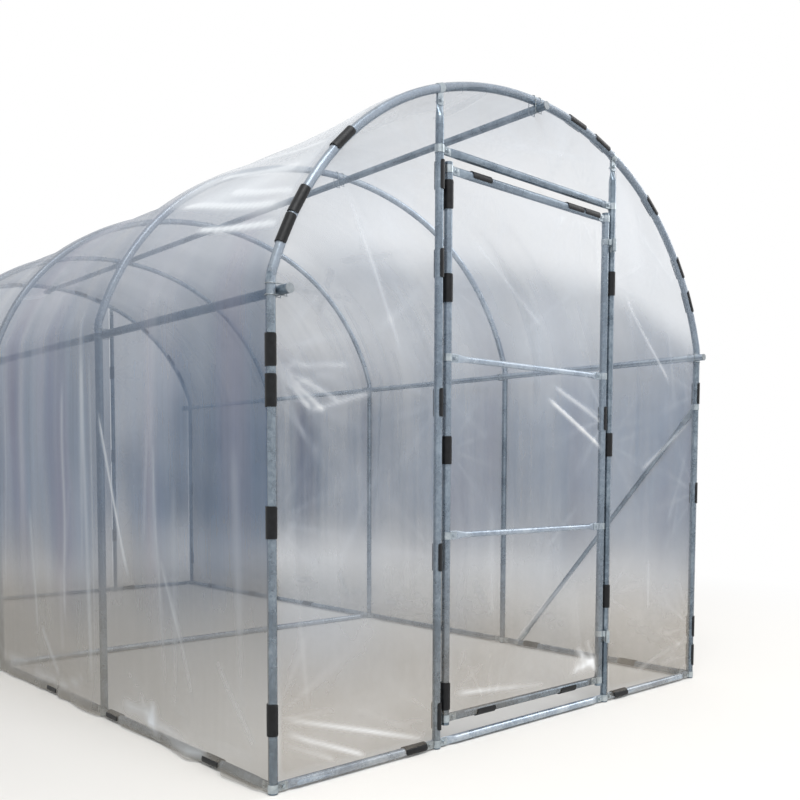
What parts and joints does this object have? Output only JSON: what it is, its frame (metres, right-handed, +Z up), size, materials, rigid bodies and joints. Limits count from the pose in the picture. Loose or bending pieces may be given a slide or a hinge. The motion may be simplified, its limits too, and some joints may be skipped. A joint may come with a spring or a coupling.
{
  "type": "film covered tunnel greenhouse",
  "caption": "Walk-in tunnel greenhouse with a galvanised tube frame, a clear film cover held by black spring clips and a hinged film door.",
  "frame": {"origin": "on the ground, in the middle of the plan", "axes": "+X to the right as one faces the door end, +Y from the door end to the rear end, +Z up"},
  "size_m": [2.034, 4.096, 2.0068],
  "materials": {
    "galvanised_tube": "satin galvanised",
    "galvanised_fittings": "bright galvanised",
    "clear_film": "clear, slightly milky film",
    "black_plastic": "satin black",
    "grey_plastic": "satin grey"
  },
  "bodies": {
    "frame": {"base_clamps": "galvanised_fittings", "base_clips": "black_plastic", "brace_clamps": "galvanised_fittings", "door_lintel": "galvanised_tube", "front_arch": "galvanised_tube", "front_base_rail": "galvanised_tube", "front_film_left": "clear_film", "front_film_right": "clear_film", "front_film_top": "clear_film", "front_left_post": "galvanised_tube", "front_right_post": "galvanised_tube", "gable_clips": "black_plastic", "hinge_brackets": "galvanised_fittings", "inner_arches": "galvanised_tube", "jamb_clamps": "galvanised_fittings", "jamb_clips": "black_plastic", "left_base_rail": "galvanised_tube", "left_door_jamb": "galvanised_tube", "left_eave_rail": "galvanised_tube", "left_side_posts": "galvanised_tube", "main_cover": "clear_film", "middle_base_tie": "galvanised_tube", "rail_clamps": "galvanised_fittings", "rail_end_caps": "grey_plastic", "rear_arch": "galvanised_tube", "rear_base_rail": "galvanised_tube", "rear_clips": "black_plastic", "rear_film": "clear_film", "rear_posts": "galvanised_tube", "rear_studs": "galvanised_tube", "ridge_purlin": "galvanised_tube", "right_base_rail": "galvanised_tube", "right_door_jamb": "galvanised_tube", "right_eave_rail": "galvanised_tube", "right_side_posts": "galvanised_tube", "wind_brace": "galvanised_tube"},
    "door": {"door_clamps": "galvanised_fittings", "door_clips": "black_plastic", "door_crossbars": "galvanised_tube", "door_film": "clear_film", "door_hinge_eyes": "galvanised_fittings", "door_rails": "galvanised_tube", "door_stiles": "galvanised_tube"}
  },
  "joints": [
    {"name": "door_hinge", "type": "hinge", "parent": "frame", "child": "door", "pos_m": [0.40175, -2.024, 0.95], "axis": [0, 0, 1], "range_deg": [0, 165]}
  ]
}
